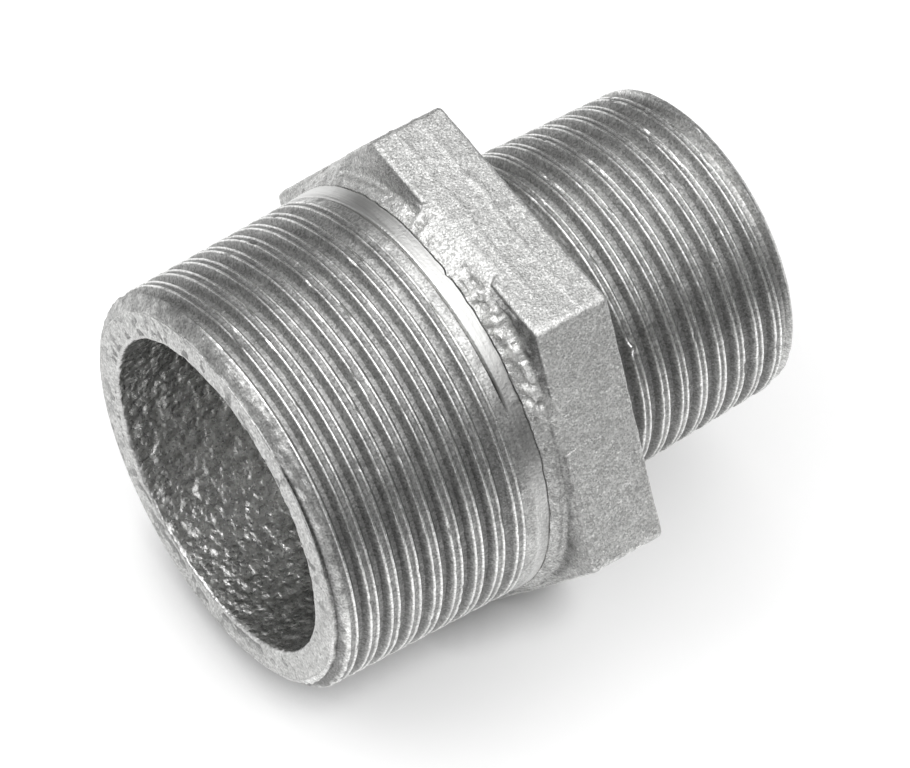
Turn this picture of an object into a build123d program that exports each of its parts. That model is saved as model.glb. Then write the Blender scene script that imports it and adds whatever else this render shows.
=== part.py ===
"""Reducing hexagon nipple, 1 1/4 x 1, malleable iron, hot-dip galvanised before its threads are cut.

Frame: origin on the bore's axis in the large end's face, +X along the axis towards the small end,
+Z up.  The nipple lies level on the bottom flat of its hexagon.  All sizes are in millimetres.
"""
import math
import os

from build123d import *

# Lengths along the axis
overall_length = 57.0
hexagon_start = 24.9
hexagon_end = 33.2

# Taper pipe thread, 11 turns to the inch, 55 degree flanks, 1 in 16 on the diameter
pitch = 25.4 / 11
thread_depth = 0.640327 * pitch
flank_angle = math.radians(27.5)
root_flat = pitch / 6
radius_taper = 1 / 32
large_gauge_diameter = 41.910
large_gauge_length = 12.7
small_gauge_diameter = 33.249
small_gauge_length = 10.4
large_groove_start = -2 * pitch
large_groove_end = 21.6
small_groove_start = 58.65
small_groove_end = 34.0

# Run-out of the threads, and the turned bands beside the hexagon
large_runout_start = 18.2
large_runout_end = 21.6
large_band_end = 23.3
large_band_radius = 21.3
small_runout_start = 37.6
small_runout_end = 34.6
small_band_radius = 17.05

# Hexagon and cast collars, with the rounded corners and edges of a casting
across_flats = 45.2
corner_radius = 0.9
edge_radius = 0.5
large_collar_start = 23.5
large_collar_radius = 22.35
small_collar_end = 33.9
small_collar_radius = 17.9

# Ends
large_chamfer_length = 1.5
large_face_radius = 19.1
small_chamfer_length = 2.0
small_face_radius = 14.3

# Passage through the nipple
large_bore_radius = 16.15
small_bore_radius = 12.4
passage_cone_start = 25.6
passage_cone_end = 33.4

# Zinc, left wherever the turning tools have not cut
zinc_thickness = 0.1

# How far the groove cutters stand out of the crests, and how a run-out clears roots and blanks
cutter_overhang = 0.25
runout_clearance = 0.08
runout_overrun = 2.0
band_step = 0.05

large_end_radius = large_gauge_diameter / 2 - large_gauge_length * radius_taper
small_end_radius = small_gauge_diameter / 2 - small_gauge_length * radius_taper


def large_thread_radius(x):
    """Crest radius of the large thread at a place on the axis."""
    return large_end_radius + x * radius_taper


def small_thread_radius(x):
    """Crest radius of the small thread at a place on the axis."""
    return small_end_radius + (overall_length - x) * radius_taper


def revolved(*points):
    """A solid of revolution about the X axis, from (x, radius) points."""
    with BuildPart() as body:
        with BuildSketch(Plane.XZ):
            with BuildLine():
                Polyline(*points, close=True)
            make_face()
        revolve(axis=Axis.X)
    return body.part


def thread_groove(start, end, start_radius, runout):
    """A right-hand helical groove that widens from its start, less the solid where it runs out."""
    inward = 1 if end > start else -1
    half_root = root_flat / 2
    half_mouth = half_root + (thread_depth + cutter_overhang) * math.tan(flank_angle)
    start_plane = Plane((start, 0, inward * start_radius), x_dir=(0, 0, inward), z_dir=(0, -1, 0))
    cone_angle = math.degrees(math.atan(radius_taper))
    with BuildPart() as groove:
        with BuildLine() as path:
            Helix(pitch, abs(end - start), start_radius, (start, 0, 0), (inward, 0, 0), cone_angle)
        with BuildSketch(start_plane):
            with BuildLine():
                Polyline(
                    (-thread_depth, -half_root),
                    (-thread_depth, half_root),
                    (cutter_overhang, half_mouth),
                    (cutter_overhang, -half_mouth),
                    close=True,
                )
            make_face()
        sweep(path=path.wires()[0], is_frenet=True)
        add(runout, mode=Mode.SUBTRACT)
    return groove.part


def runout_cone(runout_start, runout_end, root_radius, crest_radius):
    """The solid that a groove climbs over, from just under its root to beyond its crest."""
    overrun = math.copysign(runout_overrun, runout_end - runout_start)
    climb = (crest_radius - root_radius + runout_clearance) / abs(runout_end - runout_start)
    return revolved(
        (runout_start, 0),
        (runout_start, root_radius - runout_clearance),
        (runout_end + overrun, crest_radius + climb * runout_overrun),
        (runout_end + overrun, 0),
    )


def cast_middle(layer):
    """The cast hexagon and its collars, with every face moved out by a layer's thickness."""
    large_collar = large_collar_radius - zinc_thickness + layer
    small_collar = small_collar_radius - zinc_thickness + layer
    with BuildPart() as middle:
        with BuildSketch(Plane.YZ.offset(hexagon_start - layer)) as outline:
            RegularPolygon(across_flats / 2 - zinc_thickness + layer, 6, major_radius=False)
            fillet(outline.vertices(), corner_radius)
        extrude(amount=hexagon_end - hexagon_start + 2 * layer)
        fillet(middle.faces().filter_by(Axis.X).edges(), edge_radius)
        with BuildSketch(Plane.XZ):
            with BuildLine():
                Polyline(
                    (large_collar_start, 0),
                    (large_collar_start, large_collar),
                    (hexagon_start + edge_radius, large_collar),
                    (hexagon_end - edge_radius, small_collar),
                    (small_collar_end, small_collar),
                    (small_collar_end, 0),
                    close=True,
                )
            make_face()
        revolve(axis=Axis.X)
    return middle.part


def passage(layer):
    """The way through the nipple, with its walls moved in by a layer's thickness."""
    large = large_bore_radius + zinc_thickness - layer
    small = small_bore_radius + zinc_thickness - layer
    return revolved(
        (0, 0),
        (0, large),
        (passage_cone_start, large),
        (passage_cone_end, small),
        (overall_length, small),
        (overall_length, 0),
    )


# The blank: two tapers with chamfered noses, turned bands, and the cast middle between them
large_nose_end = large_chamfer_length
small_nose_end = overall_length - small_chamfer_length
with BuildPart() as blank:
    with BuildSketch(Plane.XZ):
        with BuildLine():
            Polyline(
                (zinc_thickness, 0),
                (zinc_thickness, large_face_radius),
                (large_nose_end, large_thread_radius(large_nose_end)),
                (large_runout_end, large_thread_radius(large_runout_end)),
                (large_runout_end + band_step, large_band_radius),
                (large_band_end, large_band_radius),
                (large_collar_start, large_collar_radius - zinc_thickness),
                (hexagon_start + edge_radius, large_collar_radius - zinc_thickness),
                (hexagon_end - edge_radius, small_collar_radius - zinc_thickness),
                (small_collar_end, small_collar_radius - zinc_thickness),
                (small_runout_end, small_band_radius),
                (small_runout_end + band_step, small_thread_radius(small_runout_end)),
                (small_nose_end, small_thread_radius(small_nose_end)),
                (overall_length - zinc_thickness, small_face_radius),
                (overall_length - zinc_thickness, 0),
                close=True,
            )
        make_face()
    revolve(axis=Axis.X)

large_groove = thread_groove(
    large_groove_start,
    large_groove_end,
    large_thread_radius(large_groove_start),
    runout_cone(
        large_runout_start,
        large_runout_end,
        large_thread_radius(large_runout_start) - thread_depth,
        large_thread_radius(large_runout_end),
    ),
)
small_groove = thread_groove(
    small_groove_start,
    small_groove_end,
    small_thread_radius(small_groove_start),
    runout_cone(
        small_runout_start,
        small_runout_end,
        small_thread_radius(small_runout_start) - thread_depth,
        small_thread_radius(small_runout_end),
    ),
)

with BuildPart() as iron_casting:
    add(blank)
    add(large_groove, mode=Mode.SUBTRACT)
    add(small_groove, mode=Mode.SUBTRACT)
    add(cast_middle(0))
    add(passage(0), mode=Mode.SUBTRACT)

# The zinc skin over the hexagon and its collars ends at the cuts of the turned bands
with BuildPart() as zinc_coat_hexagon:
    add(cast_middle(zinc_thickness))
    add(cast_middle(0), mode=Mode.SUBTRACT)

# The zinc skin in the passage turns out over both end faces
with BuildPart() as zinc_coat_bore:
    with BuildSketch(Plane.XZ):
        with BuildLine():
            Polyline(
                (0, large_bore_radius),
                (0, large_face_radius),
                (zinc_thickness, large_face_radius),
                (zinc_thickness, large_bore_radius + zinc_thickness),
                (passage_cone_start, large_bore_radius + zinc_thickness),
                (passage_cone_end, small_bore_radius + zinc_thickness),
                (overall_length - zinc_thickness, small_bore_radius + zinc_thickness),
                (overall_length - zinc_thickness, small_face_radius),
                (overall_length, small_face_radius),
                (overall_length, small_bore_radius),
                (passage_cone_end, small_bore_radius),
                (passage_cone_start, large_bore_radius),
                close=True,
            )
        make_face()
    revolve(axis=Axis.X)

iron_casting.part.label = "iron_casting"
zinc_coat_hexagon.part.label = "zinc_coat_hexagon"
zinc_coat_bore.part.label = "zinc_coat_bore"

os.makedirs("parts", exist_ok=True)
export_step(iron_casting.part, "parts/iron_casting.step")
export_step(zinc_coat_hexagon.part, "parts/zinc_coat_hexagon.step")
export_step(zinc_coat_bore.part, "parts/zinc_coat_bore.step")
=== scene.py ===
"""Hexagon nipple: the looks. Every length below is in millimetres in the CAD frame; meshes are
scaled to metres when they are made. X runs along the passage from the large end to the small end,
and an angle round the axis is measured from +Y towards +Z."""
import math

import bmesh
import bpy
import numpy as np
from mathutils import Matrix, Vector


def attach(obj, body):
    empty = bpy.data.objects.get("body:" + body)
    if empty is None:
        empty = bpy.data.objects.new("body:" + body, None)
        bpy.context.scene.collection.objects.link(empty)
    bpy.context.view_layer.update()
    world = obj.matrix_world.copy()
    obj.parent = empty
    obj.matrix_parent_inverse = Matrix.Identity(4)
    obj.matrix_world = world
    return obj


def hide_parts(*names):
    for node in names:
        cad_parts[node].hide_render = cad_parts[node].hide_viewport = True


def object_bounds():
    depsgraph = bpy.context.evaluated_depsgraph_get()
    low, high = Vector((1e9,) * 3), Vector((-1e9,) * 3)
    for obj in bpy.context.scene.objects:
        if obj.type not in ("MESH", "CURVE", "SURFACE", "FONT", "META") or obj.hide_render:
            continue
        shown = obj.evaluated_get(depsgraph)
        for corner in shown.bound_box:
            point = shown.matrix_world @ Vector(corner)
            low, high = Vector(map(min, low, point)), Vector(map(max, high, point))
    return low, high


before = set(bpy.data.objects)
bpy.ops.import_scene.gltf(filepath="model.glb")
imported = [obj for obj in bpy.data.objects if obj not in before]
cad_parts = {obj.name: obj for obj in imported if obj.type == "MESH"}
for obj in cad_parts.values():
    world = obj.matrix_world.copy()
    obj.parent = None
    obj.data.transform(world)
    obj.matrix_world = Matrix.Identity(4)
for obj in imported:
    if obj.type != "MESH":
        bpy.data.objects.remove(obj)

cad_low, cad_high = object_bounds()
MM = 0.001
low, high = np.array(cad_low) / MM, np.array(cad_high) / MM
length = high[0]
floor_height = low[2]

# ---------------------------------------------------------------- the part's sizes
pitch = 25.4 / 11
taper = 1 / 32
groove_depth = 0.72  # as it shows in the photograph, about half the standard's
large_crest = (20.955, 12.7)  # crest radius, at this distance from the large end
small_crest = (16.6245, 10.4)  # the same from the small end
large_phase, small_phase = 3.31, 39.85  # where a crest's middle crosses phase_angle
phase_angle = 100.0
small_runout = (37.4, 34.9)  # the small thread fades from here to here
band_start, coat_start = 22.0, 23.15  # the turned band by the large thread ends at the zinc
large_band, small_band = 21.3, 17.05  # radii of the two turned bands
lip_radius = large_band + 0.12  # of the zinc's ragged front edge
hexagon_front, hexagon_back = 24.9, 33.2
coat_end = 33.9
flat_distance = high[2]  # from the axis to a flat
corner_rounding = 0.9
edge_rounding, back_rounding = 0.55, 0.5
face_slope = 0.50  # how far the front face leans out at its foot
large_collar, small_collar = 22.0, 17.9
small_fillet = 0.3  # between the back face and the small collar
large_bore, small_bore = 16.15, 12.4
cone_start, cone_end = 25.6, 33.4
large_face, small_face = 19.15, 14.3  # outer radius of each end's flat ring
large_chamfer, small_chamfer = 1.40, 1.7
core_gap = 0.45  # from the zinc's skin down to the iron under it
bore_layer = 0.47  # from the bore's face to the layer's hidden side
mould_ridges = (27.7, 30.4)  # two faint ridges across the top flat


# ---------------------------------------------------------------- fixed noise
def hashed(i, j, k, seed):
    """A fixed number from 0 to 1 for each point of a lattice."""
    n = (i * 374761393 + j * 668265263 + k * 1103515245 + seed * 974634777) & 0xFFFFFFFF
    n = ((n ^ (n >> 13)) * 1274126177) & 0xFFFFFFFF
    n = ((n ^ (n >> 16)) * 1103515245) & 0xFFFFFFFF
    return ((n ^ (n >> 15)) & 0xFFFFFF) / float(0xFFFFFF)


def noise(points, size, seed=0):
    """Smooth noise from -1 to 1, with bumps about size millimetres across (one size or three)."""
    p = points / np.array(size)
    cell = np.floor(p).astype(np.int64)
    f = p - cell
    f = f * f * f * (f * (f * 6 - 15) + 10)
    total = 0
    for dx in (0, 1):
        wx = f[..., 0] if dx else 1 - f[..., 0]
        for dy in (0, 1):
            wy = f[..., 1] if dy else 1 - f[..., 1]
            for dz in (0, 1):
                wz = f[..., 2] if dz else 1 - f[..., 2]
                total = total + wx * wy * wz * hashed(
                    cell[..., 0] + dx, cell[..., 1] + dy, cell[..., 2] + dz, seed
                )
    return 2 * total - 1


def rough(points, size, octaves=3, seed=0, gain=0.5):
    """Noise with finer noise on top."""
    total, weight, height = 0, 0, 1
    for n in range(octaves):
        total = total + height * noise(points, np.array(size) / 2**n, seed + 17 * n)
        weight += height
        height *= gain
    return total / weight


def cells(points, size, seed=0):
    """Distance to the nearest of scattered points, about 0 to 1, for a hammered surface."""
    p = points / np.array(size)
    cell = np.floor(p).astype(np.int64)
    nearest = np.full(p.shape[:-1], 9.0)
    for dx in (-1, 0, 1):
        for dy in (-1, 0, 1):
            for dz in (-1, 0, 1):
                c = cell + np.array([dx, dy, dz])
                gap = 0
                for axis in range(3):
                    spot = c[..., axis] + hashed(c[..., 0], c[..., 1], c[..., 2], seed + 31 * axis)
                    gap = gap + (spot - p[..., axis]) ** 2
                nearest = np.minimum(nearest, gap)
    return np.sqrt(nearest)


def step(x, start, end):
    """0 before start and 1 after end, smoothly."""
    t = np.clip((x - start) / (end - start), 0, 1)
    return t * t * (3 - 2 * t)


def near(value, centre, width):
    """1 at centre, falling smoothly to 0 a width away."""
    return 1 - step(np.abs(value - centre), 0, width)


# ---------------------------------------------------------------- mesh helpers
def around(x, radius, angle):
    """Points at distance x along the axis and radius from it, at angle degrees."""
    x, radius, angle = np.broadcast_arrays(x, radius, np.radians(angle))
    return np.stack([x, radius * np.cos(angle), radius * np.sin(angle)], -1)


def turns(count):
    """Angles for a grid that goes right round, its first and last columns in the same place."""
    return np.linspace(0, 360, count + 1)


def normals(points):
    """Outward normals of a grid whose rows run along the object and close into a loop."""
    along = np.roll(points, -1, 0) - np.roll(points, 1, 0)
    across = np.empty_like(points)
    across[:, 1:-1] = points[:, 2:] - points[:, :-2]
    across[:, 0] = across[:, -1] = points[:, 1] - points[:, -2]
    n = np.cross(across, along)
    return n / np.maximum(np.linalg.norm(n, axis=-1, keepdims=True), 1e-9)


def skin(name, points, values, sharp):
    """A closed mesh over a grid of points that wraps round both ways. Points in the same place
    are merged. values gives each point's numbers for the material."""
    rows, columns = points.shape[:2]
    index = np.arange(rows * columns).reshape(rows, columns)
    after = np.roll(index, -1, 0)
    faces = np.stack([index[:, :-1], index[:, 1:], after[:, 1:], after[:, :-1]], -1).reshape(-1, 4)
    mesh = bpy.data.meshes.new(name)
    mesh.from_pydata((points.reshape(-1, 3) * MM).tolist(), [], faces.tolist())
    for key, value in values.items():
        layer = mesh.attributes.new(key, "FLOAT", "POINT")
        layer.data.foreach_set("value", np.ascontiguousarray(value, dtype=np.float32).ravel())
    bm = bmesh.new()
    bm.from_mesh(mesh)
    bmesh.ops.remove_doubles(bm, verts=bm.verts, dist=0.0002 * MM)
    bmesh.ops.dissolve_degenerate(bm, edges=bm.edges, dist=0.0001 * MM)
    # slits are left where the helix's rows stop at an end
    bmesh.ops.holes_fill(bm, edges=[e for e in bm.edges if e.is_boundary], sides=0)
    bmesh.ops.recalc_face_normals(bm, faces=bm.faces)
    open_edges = sum(not e.is_manifold for e in bm.edges)
    bm.to_mesh(mesh)
    bm.free()
    mesh.polygons.foreach_set("use_smooth", [True] * len(mesh.polygons))
    mesh.set_sharp_from_angle(angle=math.radians(sharp))
    piece = bpy.data.objects.new(name, mesh)
    bpy.context.scene.collection.objects.link(piece)
    triangles = sum(len(f.vertices) - 2 for f in mesh.polygons)
    print(f"{name}: {triangles} triangles, {open_edges} edges not closed")
    return piece


# ---------------------------------------------------------------- material helpers
def shader(name):
    """A new material, its node tree and its Principled BSDF."""
    material = bpy.data.materials.new(name)
    material.use_nodes = True
    return material, material.node_tree, material.node_tree.nodes["Principled BSDF"]


def put(tree, kind, inputs=(), **settings):
    """Adds a node. inputs pairs each socket's name or number with a value or another socket."""
    made = tree.nodes.new(kind)
    for key, value in settings.items():
        setattr(made, key, value)
    for key, value in dict(inputs).items():
        if isinstance(value, bpy.types.NodeSocket):
            tree.links.new(value, made.inputs[key])
        else:
            made.inputs[key].default_value = value
    return made


def maths(tree, operation, a, b=0.0, clamp=False):
    """One number from two, held between 0 and 1 if clamp is set."""
    return put(tree, "ShaderNodeMath", {0: a, 1: b}, operation=operation, use_clamp=clamp).outputs[0]


def spread(tree, value, low_in, high_in, low_out=0.0, high_out=1.0):
    """Maps a value from one range to another, held at the ends."""
    sockets = {"Value": value, "From Min": low_in, "From Max": high_in}
    sockets.update({"To Min": low_out, "To Max": high_out})
    return put(tree, "ShaderNodeMapRange", sockets).outputs["Result"]


def varied(tree, value, low_out, high_out):
    """Maps smooth noise, which keeps near its middle, to a range."""
    return spread(tree, value, 0.3, 0.7, low_out, high_out)


def blend(tree, factor, a, b):
    """One number between a and b."""
    made = put(tree, "ShaderNodeMix", data_type="FLOAT")
    for socket, value in zip((0, 2, 3), (factor, a, b)):
        if isinstance(value, bpy.types.NodeSocket):
            tree.links.new(value, made.inputs[socket])
        else:
            made.inputs[socket].default_value = value
    return made.outputs[0]


def grey(tree, value, warmth=0.985):
    """A grey, very slightly warm, from one number."""
    blue = maths(tree, "MULTIPLY", value, warmth)
    return put(tree, "ShaderNodeCombineColor", {0: value, 1: value, 2: blue}).outputs[0]


def place(tree, scale=(1, 1, 1)):
    """The position on the object in millimetres, each axis times its scale."""
    where = put(tree, "ShaderNodeTexCoord").outputs["Object"]
    scale = tuple(s / MM for s in scale)
    return put(tree, "ShaderNodeVectorMath", {0: where, 1: scale}, operation="MULTIPLY").outputs[0]


def speckle(tree, where, size, detail=3.0, roughness=0.55):
    """Noise from 0 to 1 with grains about size millimetres across."""
    sockets = {"Vector": where, "Scale": 1 / size, "Detail": detail, "Roughness": roughness}
    return put(tree, "ShaderNodeTexNoise", sockets).outputs["Fac"]


def bumps(tree, height, distance, strength=1.0, normal=None):
    """Bump that rises distance millimetres as height goes from 0 to 1."""
    sockets = {"Height": height, "Distance": distance * MM, "Strength": strength}
    if normal is not None:
        sockets["Normal"] = normal
    return put(tree, "ShaderNodeBump", sockets).outputs[0]


def grains(tree, where, size):
    """A number from 0 to 1 for each grain of a crystalline surface, size millimetres across."""
    cell = put(tree, "ShaderNodeTexVoronoi", {"Vector": where, "Scale": 1 / size})
    return put(tree, "ShaderNodeSeparateColor", {0: cell.outputs["Color"]}).outputs[0]


def painted(tree, name):
    """A number that the mesh carries at each point."""
    return put(tree, "ShaderNodeAttribute", attribute_name=name).outputs["Fac"]


def metal(tree, surface, value, gloss, normal):
    """Makes the surface a grey metal, with its roughness and its bump."""
    tree.links.new(grey(tree, value), surface.inputs["Base Color"])
    tree.links.new(gloss, surface.inputs["Roughness"])
    surface.inputs["Metallic"].default_value = 1.0
    tree.links.new(normal, surface.inputs["Normal"])


def cut_iron():
    """Machined thread: dull grey flanks, bright ridges, a turned band beside the hexagon."""
    material, tree, surface = shader("cut_iron")
    # the mesh's wear values also carry painted highlights and painted shade
    wear_and_sheen = painted(tree, "wear_and_sheen")
    band = painted(tree, "band")
    where = place(tree)
    grain = speckle(tree, where, 0.30, 4)
    grit = grains(tree, where, 0.17)
    lines = speckle(tree, place(tree, (1, 0.02, 0.02)), 0.16, 3, 0.7)
    blotch = speckle(tree, where, 2.2, 3)
    worn_and_sheen = maths(tree, "ADD", wear_and_sheen, varied(tree, grain, -0.14, 0.14), True)
    thread_grey = blend(tree, worn_and_sheen, 0.26, 0.82)
    thread_grey = maths(tree, "MULTIPLY", thread_grey, varied(tree, blotch, 0.88, 1.12))
    thread_grey = maths(tree, "MULTIPLY", thread_grey, spread(tree, grit, 0.0, 1.0, 0.68, 1.32))
    band_grey = blend(tree, wear_and_sheen, 0.40, 1.0)
    band_grey = maths(tree, "MULTIPLY", varied(tree, lines, 0.60, 0.84), band_grey)
    value = blend(tree, band, thread_grey, band_grey)
    gloss = blend(tree, band, blend(tree, worn_and_sheen, 0.56, 0.28), varied(tree, lines, 0.30, 0.42))
    fine = bumps(tree, grain, 0.05, 0.9)
    metal(tree, surface, value, gloss, bumps(tree, lines, 0.03, 0.8, fine))
    return material


def zinc():
    """Hot-dip zinc over sand-cast iron: satin, with fine grain and small sparkles."""
    material, tree, surface = shader("zinc")
    # wear carries a painted highlight along a corner, and tone carries painted shade
    bright = painted(tree, "wear_and_sheen")
    tone = painted(tree, "tone")
    where = place(tree)
    grain = speckle(tree, where, 0.24, 4, 0.6)
    grit = grains(tree, where, 0.14)
    flakes = grains(tree, where, 0.17)
    blotch = speckle(tree, where, 1.6, 4)
    value = varied(tree, blotch, 0.57, 0.67)
    value = maths(tree, "ADD", value, spread(tree, grit, 0.0, 1.0, -0.20, 0.20))
    value = maths(tree, "ADD", value, spread(tree, flakes, 0.91, 0.97, 0.0, 0.30))
    value = maths(tree, "ADD", value, maths(tree, "MULTIPLY", bright, 0.25))
    value = maths(tree, "MULTIPLY", value, tone, True)
    gloss = spread(tree, grit, 0.0, 1.0, 0.58, 0.36)
    sandy = bumps(tree, grain, 0.095, 1.0)
    metal(tree, surface, value, gloss, bumps(tree, grit, 0.03, 0.7, sandy))
    return material


def bore_zinc():
    """Zinc inside the passage: glossier, hammered by the casting's coarse skin."""
    material, tree, surface = shader("zinc_bore")
    bright = painted(tree, "wear_and_sheen")
    where = place(tree)
    grain = speckle(tree, where, 0.35, 4)
    grit = grains(tree, where, 0.18)
    blotch = speckle(tree, where, 1.4, 3)
    dark = varied(tree, blotch, 0.48, 0.80)
    dark = maths(tree, "ADD", dark, spread(tree, grit, 0.0, 1.0, -0.08, 0.08))
    light = varied(tree, grain, 0.42, 0.68)
    light = maths(tree, "ADD", light, spread(tree, grit, 0.0, 1.0, -0.12, 0.12))
    light = maths(tree, "ADD", light, varied(tree, blotch, -0.06, 0.06))
    gloss = blend(tree, bright, varied(tree, grain, 0.22, 0.36), 0.45)
    sockets = {"Vector": where, "Scale": 1 / 0.50}
    pebble = put(tree, "ShaderNodeTexVoronoi", sockets, feature="SMOOTH_F1").outputs["Distance"]
    pebbled = bumps(tree, maths(tree, "SUBTRACT", 1.0, pebble), 0.10, 1.0)
    value = blend(tree, bright, dark, light)
    metal(tree, surface, value, gloss, bumps(tree, grain, 0.08, 1.0, pebbled))
    return material


# ---------------------------------------------------------------- the iron casting
def crest_radius(x, large):
    """Radius over the crests of either taper thread."""
    if large:
        return large_crest[0] + (x - large_crest[1]) * taper
    return small_crest[0] + (length - x - small_crest[1]) * taper


def thread_shape(ridge):
    """One pitch of thread: offsets from the middle of a crest, drop below the crest, and how
    bright each point is worn. A crest is flat, with a fine ridge along both edges."""
    half = [ridge + offset for offset in (-0.18, -0.13, -0.06, 0.09, 0.17, 0.35, 0.56)]
    drop = [0.14, 0.11, 0.0, 0.0, 0.12, 0.42, groove_depth]
    worn_and_sheen = [0.10, 0.25, 1.0, 1.0, 0.20, 0.0, 0.0]
    offsets = [-h for h in half[::-1]] + half
    return np.array(offsets), np.array(drop[::-1] + drop), np.array(worn_and_sheen[::-1] + worn_and_sheen)


large_shape = thread_shape(0.37)
small_shape = thread_shape(0.31)


def from_crest(crossing, middle):
    """Distance along the axis from the middle of the nearest crest."""
    offset = crossing - middle
    return offset - pitch * np.round(offset / pitch)


def thread_rows(middle, shape, start, end, angle):
    """Helical rows of points from start to end, held at the ends: distance along the axis, drop
    and wear of the full thread there, and the distance at which each row crosses phase_angle."""
    offsets, drop, worn_and_sheen = shape
    first = math.floor((start - middle) / pitch) - 2
    last = math.ceil((end - middle) / pitch) + 2
    crossing = np.concatenate([middle + turn * pitch + offsets for turn in range(first, last + 1)])
    lead = pitch * (angle - phase_angle) / 360
    x = crossing[:, None] + lead
    keep = (x.max(1) > start) & (x.min(1) < end)
    x = np.clip(x[keep], start, end)
    crossing = x - lead
    offset = from_crest(crossing, middle)
    reach = np.concatenate([offsets - pitch, offsets, offsets + pitch])
    drop = np.interp(offset, reach, np.tile(drop, 3))
    worn_and_sheen = np.interp(offset, reach, np.tile(worn_and_sheen, 3))
    return x, drop, worn_and_sheen, crossing


def below(theta, start, end):
    """0 to 1 as theta goes from start to end, and on over the side that lies lower."""
    return step(theta, start, end) * (1 - step(theta, 300, 330))


def lower_shaded_side(theta):
    """From 0 to 1 on the side that lies lower, where the grooves and the narrow band by the zinc get
    painted shade.
    """
    return below(theta % 360, 126, 146)


def band_sheen_and_tone(theta):
    """How bright the turned band is: above the mark where the tool stopped it carries a painted
    highlight over its top, fading towards the mark; past the mark it is plainer, with a strip of
    painted shade.
    """
    theta = theta % 360
    above = 1 - step(theta, 130.6, 131.4)
    return 0.64 + above * (0.45 - 0.60 * step(theta, 110, 130)) - 0.32 * near(theta, 141, 13)


def band_share(theta):
    """How much the turned band looks polished and not like the thread: less on the lower side."""
    return 1 - 0.6 * below(theta, 128, 137)


def large_fade(x, theta, spot, base):
    """The large thread's last groove fades to a shallow mottled land, which ends in a fine scored
    line: the deepest cut, the band, the scored line and the land's brightness."""
    deepest = groove_depth - (groove_depth - 0.10) * step(spot, 17.8, 20.4)
    deepest = deepest * (1 - step(spot, 21.05, 21.35)) * (1 - step(x, 21.85, band_start))
    band = step(spot, 21.12, 21.35) * band_share(theta)
    scored = near(spot, 21.23, 0.15) * step(theta, 20, 60) * (1 - step(theta, 128, 137))
    # the land is painted darker around 140 degrees: painted shade
    land = 0.50 + 0.3 * rough(base, 0.7, 3, 4) - 0.35 * near(theta, 140, 16)
    return deepest, band, scored, land


def small_fade(x, base):
    """The same four for the small thread, which has no band of its own and no scored line."""
    deepest = groove_depth * (1 - 0.96 * step(-x, -small_runout[0], -small_runout[1]))
    return deepest, 0 * x, 0, 0.40 + 0.2 * rough(base, 0.7, 3, 4)


def rubbed(worn_and_sheen, drop, offset, theta, band):
    """Wear and painted light of the grooves and of the crests, which differ round the thread."""
    # painted light brightens the grooves, not the crests' hollow tops, most on the flank to the small
    # end, to make up for their shade; none falls on the lower side
    lean = np.clip(offset / 0.8, -1, 1)
    painted_fill = 0.20 * step(drop, 0.14, 0.40) * (1 - worn_and_sheen) * (1 + 0.4 * lean) * (1 - lower_shaded_side(theta))
    # the crests are bright right across on the side that lies lower, and are painted half as bright
    # towards the floor, where painted shade falls
    leading = step(theta, 138, 152) * (1 - step(offset, -0.05, 0.12))
    trailing = step(theta, 160, 180)
    across = near(drop, 0.0, 0.20) * np.maximum(leading, trailing)
    across = across * (1 - step(theta, 250, 290)) * (1 - band)
    return np.maximum(worn_and_sheen, 0.85 * across * (1 - 0.5 * step(theta, 176, 200))) + painted_fill


def nose_radius(large, from_end, ragged):
    """Radius of the chamfer that the first teeth of the thread cutter left. Past the chamfer it
    is larger than any crest."""
    rise, face = (large_chamfer, large_face) if large else (small_chamfer, small_face)
    top = crest_radius(rise if large else length - rise, large)
    along = np.clip(from_end / rise, 0, 3)
    bulge = 1 - (1 - np.minimum(along, 1)) ** (1.5 if large else 2.5)
    nose = face + (top - face) * bulge + (along > 1) * 9
    return nose + (0.24 if large else 0.10) * ragged * step(from_end, 0, 0.5)


def nose_tone_and_glint(large, theta, from_end, base, ragged):
    """How bright the chamfer is: a painted glint on the large one, a beaded edge on the small one."""
    if large:
        # a painted highlight over the top of the chamfer, broken up by scratches
        glint = near(theta, 115, 34)
        lip_light = 0.4 * step(theta, 150, 180) * (1 - step(theta, 240, 270))
        scratched = rough(base, (0.45, 1.3, 1.3), 3, 12, 0.6)
        tone = 0.34 + 0.45 * ragged + glint * (0.30 + 1.2 * scratched) + lip_light
    else:
        beads = near(from_end, 1.75, 0.35) * step(cells(base, 0.75, 11), 0.55, 0.30)
        tone = 0.62 + 0.3 * ragged + 0.5 * beads
    return np.clip(tone, 0, 1)


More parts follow.
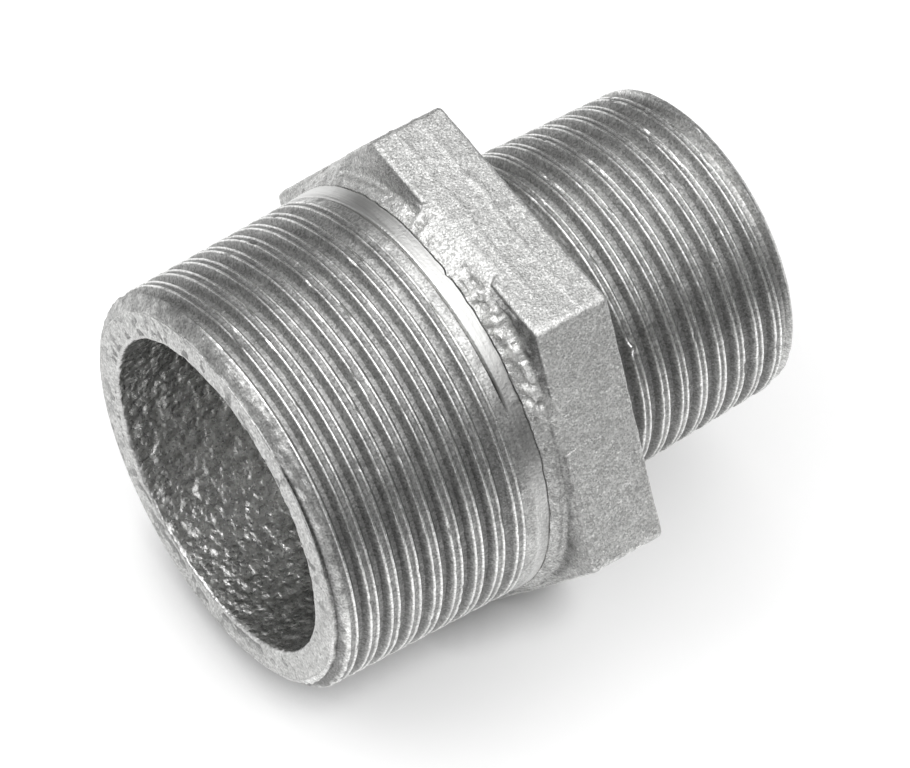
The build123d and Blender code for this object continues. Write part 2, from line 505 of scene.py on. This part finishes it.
def thread_surface(large, start, end, angle):
    """Points, wear and band values over one threaded end, run-out and chamfer included."""
    middle, shape = (large_phase, large_shape) if large else (small_phase, small_shape)
    x, drop, worn_and_sheen, crossing = thread_rows(middle, shape, start, end, angle)
    crest = crest_radius(x, large)
    base = around(x, crest, angle)
    theta = angle + 0 * x
    # run-outs follow the helix, and slip back a pitch on the far side so that each turn closes
    spot = crossing + pitch * step(theta, 240, 360)
    if large:
        deepest, band, scored, land = large_fade(x, theta, spot, base)
    else:
        deepest, band, scored, land = small_fade(x, base)
    cut = np.minimum(drop, deepest)
    filled = step(drop - deepest, 0.02, 0.2)
    worn_and_sheen = worn_and_sheen + (np.clip(land, 0, 1) - worn_and_sheen) * filled * step(groove_depth - deepest, 0.2, 0.8)
    turned = step(band, 0, 0.4)
    worn_and_sheen = worn_and_sheen * (1 - turned) + band_sheen_and_tone(theta) * turned
    worn_and_sheen = rubbed(worn_and_sheen, drop, from_crest(crossing, middle), theta, band)

    # nicks along the crests' edges, and a fine grain everywhere
    edge = near(cut, 0, 0.35)
    nick = np.clip(noise(base, (0.5, 0.9, 0.9), 3) - 0.60, 0, 1) * 0.5
    grain = rough(base, (0.45, 0.9, 0.9), 3, 5)
    cut = cut + edge * (1 - band) * (nick + 0.03 * grain) + (1 - edge) * 0.05 * grain + 0.34 * scored
    worn_and_sheen = np.clip(worn_and_sheen - (1.2 * edge * nick + 0.7 * scored) * (1 - 0.5 * band), 0, 1)
    radius = np.minimum(crest, large_band - 0.05 if large else small_band) - cut
    if not large:  # a lump of burr beside the hexagon
        radius = radius + 0.45 * near(x, 37.5, 0.9) * near(theta, 139.5, 2.6) * (1 + 0.4 * grain)

    from_end = x if large else length - x
    ragged = rough(base, (1.1, 0.9, 0.9), 3, 9, 0.6)
    nose = nose_radius(large, from_end, ragged)
    on_nose = step(radius - nose, -0.03, 0.05)
    radius = np.minimum(radius, nose)
    first_score = 0
    if large:  # where the first groove only just scores the chamfer
        first_score = near(spot, 0.10, 0.24) * step(theta, 112, 125) * (1 - step(theta, 238, 255))
        radius = radius - 0.50 * first_score * (1 + 0.6 * ragged)
    else:  # the nose's beaded edge
        on_nose = np.maximum(on_nose, step(x, 54.95, 55.25))
    worn_and_sheen = worn_and_sheen + (nose_tone_and_glint(large, theta, from_end, base, ragged) - worn_and_sheen) * on_nose
    return around(x, radius, angle), worn_and_sheen * (1 - first_score), band


def front_cut(angle):
    """Where the thread tool cut the zinc away beside the band: a ragged line."""
    ring = around(0 * angle, 20.0, angle)
    line = coat_start - 0.12 + 0.15 * rough(ring, 1.7, 4, 41, 0.65)
    line = line + 0.12 * step(angle, 110, 170) * (1 - step(angle, 300, 350))
    return line - 0.26 * near(angle, 96.5, 1.8) * step(angle, 94, 97)


def hexagon_radius(angle, distance, rounding):
    """Radius of a rounded hexagon at an angle. Flats face +Z and -Z, and corners lie at 0, 60, ...
    degrees."""
    from_flat = np.radians(np.abs(angle % 60 - 30))
    from_corner = math.radians(30) - from_flat
    straight = distance / np.cos(from_flat)
    centre = (distance - rounding) / math.cos(math.radians(30))
    arc = np.sqrt(np.maximum(rounding**2 - (centre * np.sin(from_corner)) ** 2, 0))
    tangent = math.atan((distance - rounding) * math.tan(math.radians(30)) / distance)
    return np.where(from_flat < tangent, straight, centre * np.cos(from_corner) + arc)


def core_rows(angle):
    """The iron under the zinc: distance along the axis and radius, row by row."""
    zero = 0 * angle
    core = hexagon_radius(angle, flat_distance - core_gap, 1.2)
    front, back = hexagon_front + core_gap, hexagon_back - core_gap
    large_core, small_core = large_collar - core_gap, small_collar - core_gap
    return [
        (coat_start + 0.35, large_band - 0.55 + zero),
        (coat_start + 0.5, large_core + zero),
        (front - 0.25, large_core + zero),
        (front, large_core + 0.25 + zero),
        (front, core - 0.3),
        (front + 0.3, core),
        ((front + back) / 2, core),
        (back - 0.3, core),
        (back, core - 0.3),
        (back, small_core + 0.25 + zero),
        (back + 0.25, small_core + zero),
        (coat_end - 0.5, small_core + zero),
        (coat_end - 0.35, small_band - 0.12 + zero),
    ]


def turned_band(angle):
    """The smooth turned band, as far as the crack where the zinc begins: points, wear and band."""
    cut_line = front_cut(angle)
    smooth = np.linspace(0.1, 1, 8)
    x = np.array([band_start + (cut_line - 0.12 - band_start) * t for t in smooth])
    x = np.concatenate([x, [cut_line - 0.08, cut_line - 0.02, cut_line + 0.10]])
    theta = angle + 0 * x
    sunk = np.array([0.0] * len(smooth) + [0.04, 0.40, 0.42])[:, None] * (1 - 0.75 * lower_shaded_side(theta))
    # the mark where the tool stopped
    mark = 0.07 * near(theta, 131, 1.3) * step(x, band_start, band_start + 0.3)
    wave = 0.010 * rough(around(x, large_band, angle), (0.35, 9, 9), 2, 21)
    points = around(x, large_band - 0.05 - sunk + wave + mark, angle)
    # the crack's wall is painted dark: painted shade in the crack
    worn_and_sheen = band_sheen_and_tone(theta) - 0.6 * (sunk > 0.02) + 0.5 * near(theta, 131, 1.0)
    return points, worn_and_sheen, band_share(theta)


def casting():
    angle = turns(288)
    inset = 0.08  # the iron stops this far inside the end faces, under the zinc
    core = np.stack([around(x, r, angle) for x, r in core_rows(angle)])
    # the narrow band between the zinc and the small thread
    tail_x = np.linspace(coat_end - 0.2, small_runout[1] - 0.15, 7)[:, None] + 0 * angle
    tail_r = small_band - 0.05 + 0.02 * rough(around(tail_x, small_band, angle), (0.5, 2, 2), 2, 23)
    # the narrow band is painted darker on its lower side: painted shade
    tail_grey_and_shade = 0.4 - 0.3 * lower_shaded_side(angle) + 0 * tail_x
    bore_x = np.array([length - inset, cone_end, cone_start, inset])
    bore_r = np.array([small_bore, small_bore, large_bore, large_bore]) + 0.5
    bore = np.stack([around(x, r, angle) for x, r in zip(bore_x, bore_r)])
    sections = [
        thread_surface(True, inset, band_start, angle),
        turned_band(angle),
        (core, 0 * core[..., 0], 0 * core[..., 0]),
        (around(tail_x, tail_r, angle), tail_grey_and_shade, 0 * tail_x),
        thread_surface(False, small_runout[1], length - inset, angle),
        (bore, 0 * bore[..., 0], 0 * bore[..., 0]),
    ]
    points, wear_and_sheen, flag = [np.concatenate(part) for part in zip(*sections)]
    piece = skin("iron_casting_worn", points, {"wear_and_sheen": wear_and_sheen, "band": flag}, 42)
    piece.data.materials.append(cut_iron())
    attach(piece, "root")
    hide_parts("iron_casting")


# ---------------------------------------------------------------- the zinc on the hexagon
def front_rows(outline, collar, fillet, edge, front_edge):
    """The collar, the slanted front face and its rounded edge. Each row is a distance along the
    axis, a radius, and how freely the cast skin may wander there."""
    rows = []
    foot = hexagon_front - face_slope
    for t in np.linspace(0, 1, 10):
        x = front_edge + 0.04 + (foot - fillet - front_edge - 0.04) * t
        rows.append((x, collar - (collar - lip_radius) * (1 - t) ** 2.2, 1.0))
    for t in (0.35, 0.7, 1.0):
        a = t * math.pi / 2
        rows.append((foot - fillet * (1 - math.sin(a)), collar + fillet * (1 - math.cos(a)), 0.8))
    inner, outer = collar + fillet, outline - edge
    for t in np.linspace(0, 1, 13)[1:]:
        x = hexagon_front - face_slope * (1 - t) + 0 * outline
        rows.append((x, inner + (outer - inner) * t, 0.9))
    for t in (0.25, 0.5, 0.75, 1.0):
        a = t * math.pi / 2
        x = hexagon_front + edge * (1 - math.cos(a))
        rows.append((x, outline - edge * (1 - math.sin(a)), 0.8))
    return rows


def ramped(rows, beside, outline, front_edge):
    """The same rows where beside is 0, and a plain ramp from the band to the flat where it is 1."""
    moved = []
    for row, t in zip(rows, np.linspace(0, 1, len(rows))):
        x, radius, loose = row
        ramp_x = front_edge + 0.04 + (hexagon_front + 1.5 - front_edge) * t
        ramp_r = lip_radius + (outline - lip_radius) * (1 - (1 - t) ** 1.7)
        moved.append((x + (ramp_x - x) * beside, radius + (ramp_r - radius) * beside, loose))
    return moved


def back_rows(outline, flat_start, back_edge):
    """The flats, their rounded back edge, the back face and the small collar."""
    rows = []
    zero = 0 * outline
    flat_end = hexagon_back - back_rounding
    for t in np.linspace(0, 1, 28)[1:]:
        rows.append((flat_start + (flat_end - flat_start) * t, outline, 1.0))
    for t in (0.25, 0.5, 0.75, 1.0):
        a = t * math.pi / 2
        x = flat_end + back_rounding * math.sin(a) + zero
        rows.append((x, outline - back_rounding * (1 - math.cos(a)), 0.9))
    inner = small_collar + small_fillet
    for t in np.linspace(1, 0, 17)[1:]:
        rows.append((hexagon_back + zero, inner + (outline - back_rounding - inner) * t, 0.9))
    for t in (0.5, 1.0):
        a = t * math.pi / 2
        x = hexagon_back + small_fillet * (1 - math.cos(a)) + zero
        rows.append((x, small_collar + small_fillet * (1 - math.sin(a)) + zero, 0.6))
    foot = hexagon_back + small_fillet
    for t in (0.5, 1.0):
        rows.append((foot + (back_edge - 0.1 - foot) * t, small_collar - 0.15 * t + zero, 0.6))
    rows.append((back_edge, small_band - 0.02 + zero, 0.2))
    return rows


def collar_lumps(points, theta, on_collar, beside):
    """Lumps squeezed along the axis, worst beside the front corner: where they are, and a streaky
    noise that shapes them."""
    heaped = 0.25 + 0.7 * near(theta, 80, 7) + 0.5 * near(theta, 262, 25)
    heaped = heaped + 0.85 * step(theta, 94, 104) * (1 - step(theta, 135, 142))
    squeezed = points * np.array([0.45, 1, 1])
    streak = rough(squeezed, 0.80, 3, 55, 0.6)
    return on_collar * heaped * (1 - beside * near(theta, 90, 8)), streak


def coat_tone_and_shade(points, x, theta, collar, beside, on_collar):
    """How dark the coat is from place to place, 1 where it is plain: painted shade over the front
    face, on the collar's lower side and in the crease at the face's foot, and dark spots towards the
    lower corner. x is from before the lumps.
    """
    out = np.hypot(points[..., 1], points[..., 2])
    on_face = step(out - collar, 0.05, 0.4)
    on_face = on_face * (1 - step(x, hexagon_front, hexagon_front + 0.25))
    # painted shade over the front face, mottled, and on the collar's lower side
    shaded = 0.25 + 0.2 * near(theta, 70, 20)
    shaded = shaded + 0.32 * step(theta, 98, 108) * (1 - step(theta, 150, 172))
    shaded = shaded * (1 + 0.6 * rough(points, 0.9, 3, 58))
    tone = 1 - shaded * on_face * (1 - beside) - 0.20 * on_collar * below(theta, 116, 142)
    # painted shade in the crease at the foot of the face, and dark spots on the collar towards the
    # lower corner
    crease_shade = near(x, hexagon_front - face_slope + 0.1, 0.32) * below(theta, 120, 140)
    dark_spots = on_collar * near(theta, 200, 36) * step(rough(points, 0.55, 2, 66), 0.15, 0.45)
    return tone * (1 - 0.40 * crease_shade * (0.8 + 0.8 * rough(points, 1.2, 2, 67))) * (1 - 0.5 * dark_spots)


def hexagon_coat():
    angle = turns(660)
    outline = hexagon_radius(angle, flat_distance, corner_rounding)
    ring = around(0 * angle, 20.0, angle)
    # ragged edges where the thread tools cut the coat away
    front_edge = front_cut(angle)
    back_edge = coat_end + 0.10 * rough(ring, 1.8, 3, 43)

    room = outline - large_collar  # height of the front face
    heaped_up = step(angle, 98, 108) * (1 - step(angle, 138, 148))
    collar = large_collar + np.minimum(1.2 * heaped_up, 0.5 * room)
    fillet = np.minimum(0.30 + 0.3 * heaped_up, 0.2 * room)
    edge = np.minimum(edge_rounding, 0.4 * room)
    # the top flat runs down to the band without a step beside its middle
    beside = 1 - step(room + 0.35 * noise(ring, 1.5, 45), 0.95, 1.45)
    beside = beside * (near(angle, 90, 60) > 0)
    front = ramped(front_rows(outline, collar, fillet, edge, front_edge), beside, outline, front_edge)
    # the wall of the crack, below the coat's lip
    wall = [(front_edge + 0.02, large_band - 0.42 + 0 * angle, 0.0)]
    wall.append((front_edge, lip_radius - 0.10 + 0 * angle, 0.2))
    back = back_rows(outline, front[-1][0], back_edge)
    # the inside, which lies on the iron core
    inside = [(x + 0 * angle, radius + 0.02, 0.0) for x, radius in reversed(core_rows(angle))]

    rows = wall + front + back + inside
    points = np.stack([around(x, radius, angle) for x, radius, free in rows])
    free = np.array([row[2] for row in rows])[:, None]
    x = points[..., 0]
    outward = normals(points)
    theta = angle + 0 * x

    cast = rough(points, 1.4, 4, 51, 0.66)
    broad = rough(points, 4.5, 2, 53)
    sink = 0.09 - 0.10 * cast - 0.05 * broad
    on_collar = step(x, coat_start - 0.2, coat_start + 0.2)
    on_collar = on_collar * (1 - step(x, hexagon_front - 0.7, hexagon_front - 0.1))
    lumps, streak = collar_lumps(points, theta, on_collar, beside)
    sink = sink + lumps * (0.20 - 0.80 * streak)
    # faint wobbly ridges across the top flat, left by the mould
    on_top = step(points[..., 2], flat_distance - 1.5, flat_distance - 0.7)
    wobble = 0.35 * noise(points, (30, 3.0, 9), 57)
    for ridge_x in mould_ridges:
        sink = sink - on_top * 0.09 * near(x + wobble, ridge_x, 0.4)
    sink = np.clip(sink, 0.0, 0.7)  # never outward of the plain shape
    points = points - outward * (sink * free)[..., None]

    wear_and_sheen = lumps * np.clip(streak + 0.45, 0, 1) * free
    # a painted highlight along the corner between the top flat and the next, ragged
    corner_highlight = near(theta, 119.4, 1.1) * step(x, hexagon_front, hexagon_front + 0.4)
    wear_and_sheen = wear_and_sheen + 0.9 * corner_highlight * (0.6 + 0.8 * rough(points, 0.8, 2, 59))
    tone = coat_tone_and_shade(points, x, theta, collar, beside, on_collar)
    piece = skin("zinc_coat_hexagon_cast", points, {"wear_and_sheen": wear_and_sheen, "tone": tone}, 60)
    piece.data.materials.append(zinc())
    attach(piece, "root")
    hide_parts("zinc_coat_hexagon")


# ---------------------------------------------------------------- the zinc in the passage
def large_end_rows(angle):
    """The large end's flat ring and its rounded lip. Each row is a distance along the axis, a
    radius, how freely the skin may wander and how bright it is."""
    zero = 0 * angle
    ring = around(zero, 18.0, angle)
    lip = (0.08 + 0.20 * near(angle % 360, 315, 50)) * rough(ring, 1.8, 4, 61, 0.6)
    outer = large_face - 0.02 + 0.12 * rough(ring, 1.6, 3, 63)
    rounding = 0.40
    rows = [(0.12 + zero, outer, 0, 0.9), (0.03 + zero, outer - 0.06, 0, 0.95)]
    rim, inner = outer - 0.16, large_bore + 0.02 + rounding + lip
    for t in np.linspace(0, 1, 9):
        rows.append((zero, rim + (inner - rim) * t, 0.7, 1.0))
    for t in (0.33, 0.66, 1.0):
        a = t * math.pi / 2
        radius = large_bore + 0.02 + rounding * (1 - math.sin(a)) + lip * (1 - t)
        rows.append((rounding * (1 - math.cos(a)) + zero, radius, 0.6, 0.8 - 0.5 * t))
    return rows


def passage_rows(angle):
    """The large passage, the cone and the small passage."""
    zero = 0 * angle
    rows = []
    for x in np.concatenate([np.arange(0.75, 13, 0.29), np.linspace(13.2, cone_start, 26)]):
        rows.append((x + zero, large_bore + zero, 1.0, 0.0))
    for t in np.linspace(0, 1, 20)[1:]:
        radius = large_bore + (small_bore - large_bore) * step(t, 0, 1)
        rows.append((cone_start + (cone_end - cone_start) * t + zero, radius + zero, 1.0, 0.0))
    for x in np.linspace(cone_end + 0.4, length - 0.5, 50):
        rows.append((x + zero, small_bore + zero, 1.0, 0.0))
    return rows


def small_end_rows(angle):
    """The small end's rounded lip and its flat ring."""
    zero = 0 * angle
    rounding = 0.3
    rows = []
    for t in (0.5, 1.0):
        a = t * math.pi / 2
        x = length - rounding * (1 - math.sin(a)) + zero
        rows.append((x, small_bore + rounding * (1 - math.cos(a)) + zero, 0.4, 0.5 + 0.4 * t))
    rim = small_face - 0.02 + 0.06 * rough(around(zero, 18.0, angle), 1.6, 3, 65)
    inner = small_bore + rounding
    for t in (0.33, 0.66, 1.0):
        rows.append((length + zero, inner + (rim - 0.06 - inner) * t, 0.25, 0.95))
    rows.append((length - 0.12 + zero, rim, 0, 0.9))
    return rows


def bore_coat():
    angle = turns(400)
    zero = 0 * angle
    rows = large_end_rows(angle) + passage_rows(angle) + small_end_rows(angle)
    # the layer's hidden side
    for x, radius in (
        (length - 0.12, small_bore),
        (cone_end, small_bore),
        (cone_start, large_bore),
        (0.12, large_bore),
    ):
        rows.append((x + zero, radius + bore_layer + zero, 0, 0))

    points = np.stack([around(x, radius, angle) for x, radius, free, bright in rows])
    free = np.array([row[2] for row in rows])[:, None]
    bright = np.array([row[3] for row in rows])[:, None] + 0 * points[..., 0]
    outward = -normals(points)  # this loop runs the other way round
    pebbles = np.clip(cells(points, 0.95, 71), 0, 1) ** 2
    sink = 0.03 + 0.28 * pebbles + 0.10 * rough(points, 2.6, 3, 73) + 0.07 * rough(points, 0.8, 2, 74)
    sink = np.clip(sink, 0, 0.44)
    from_end = np.minimum(points[..., 0], length - points[..., 0])
    in_bore = step(from_end, 0.2, 0.9)
    at_end = np.clip(0.08 + 0.14 * rough(points, 1.0, 3, 75), 0, 1)
    sink = sink * in_bore + (1 - in_bore) * at_end
    points = points - outward * (sink * free)[..., None]
    points[..., 0] = np.clip(points[..., 0], 0, length)
    piece = skin("zinc_coat_bore_cast", points, {"wear_and_sheen": bright}, 60)
    piece.data.materials.append(bore_zinc())
    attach(piece, "root")
    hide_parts("zinc_coat_bore")


# ---------------------------------------------------------------- floor, light and camera
def floor():
    mesh = bpy.data.meshes.new("floor")
    side = 4.0
    corners = [(-side, -side), (side, -side), (side, side), (-side, side)]
    height = floor_height * MM
    mesh.from_pydata([(x, y, height) for x, y in corners], [], [(0, 1, 2, 3)])
    piece = bpy.data.objects.new("floor", mesh)
    bpy.context.scene.collection.objects.link(piece)
    material, tree, surface = shader("pale_floor")
    # a pale sheet that glows in a painted pool of light round the object, paler and dimmer further
    # out; where the object touches it the glow is taken away, a painted contact shadow
    under = (length / 2, 0, floor_height)
    away = put(tree, "ShaderNodeVectorMath", {0: place(tree), 1: under}, operation="DISTANCE")
    painted_light_pool = spread(tree, away.outputs["Value"], 120, 360, 1.0, 0.15)
    tree.links.new(grey(tree, maths(tree, "MULTIPLY", painted_light_pool, 0.66), 1.0), surface.inputs["Base Color"])
    contact = put(tree, "ShaderNodeAmbientOcclusion", {"Distance": 0.008}).outputs["AO"]
    painted_glow = maths(tree, "MULTIPLY", painted_light_pool, spread(tree, contact, 0.35, 0.80, 0.0, 0.42))
    surface.inputs["Emission Color"].default_value = (1, 1, 1, 1)
    tree.links.new(painted_glow, surface.inputs["Emission Strength"])
    surface.inputs["Roughness"].default_value = 0.9
    surface.inputs["Specular IOR Level"].default_value = 0.0
    mesh.materials.append(material)


def sky():
    """A soft studio: bright overhead, darker towards the horizon."""
    world = bpy.data.worlds.new("studio")
    world.use_nodes = True
    tree = world.node_tree
    tree.nodes.clear()
    where = put(tree, "ShaderNodeTexCoord").outputs["Generated"]
    up = put(tree, "ShaderNodeSeparateXYZ", {0: where}).outputs["Z"]
    value = spread(tree, up, 0.46, 0.88, 0.12, 1.75)
    back = put(tree, "ShaderNodeBackground", {"Color": value, "Strength": 1.0}).outputs[0]
    put(tree, "ShaderNodeOutputWorld", {"Surface": back})
    bpy.context.scene.world = world


def softbox(name, direction, distance, width, height, power):
    """A rectangular light that faces the object from a direction."""
    light = bpy.data.lights.new(name, "AREA")
    light.shape = "RECTANGLE"
    light.size, light.size_y, light.energy = width, height, power
    lamp = bpy.data.objects.new(name, light)
    middle = Vector((length / 2 * MM, 0, 0))
    away = Vector(direction).normalized()
    lamp.location = middle + away * distance
    lamp.rotation_euler = away.to_track_quat("Z", "Y").to_euler()
    bpy.context.scene.collection.objects.link(lamp)


def camera():
    """Stands where the photograph's camera stood, as worked out from the threads."""
    data = bpy.data.cameras.new("camera")
    data.sensor_width = 36
    data.lens = 172.93
    data.clip_start, data.clip_end = 0.01, 20
    seen = bpy.data.objects.new("camera", data)
    right = Vector((0.80783, -0.58304, 0.08644)).normalized()
    back = Vector((-0.39243, -0.42261, 0.81695)).normalized()
    up = back.cross(right).normalized()
    turn = Matrix((right, up, back)).transposed().to_4x4()
    seen.matrix_world = Matrix.Translation(Vector((-136.43, -177.21, 339.37)) * MM) @ turn
    bpy.context.scene.collection.objects.link(seen)
    bpy.context.scene.camera = seen


casting()
hexagon_coat()
bore_coat()
floor()
sky()
softbox("key", (-0.59, 0.31, 0.74), 0.80, 0.45, 0.45, 2.0)
camera()
bpy.context.scene.view_settings.view_transform = "Standard"
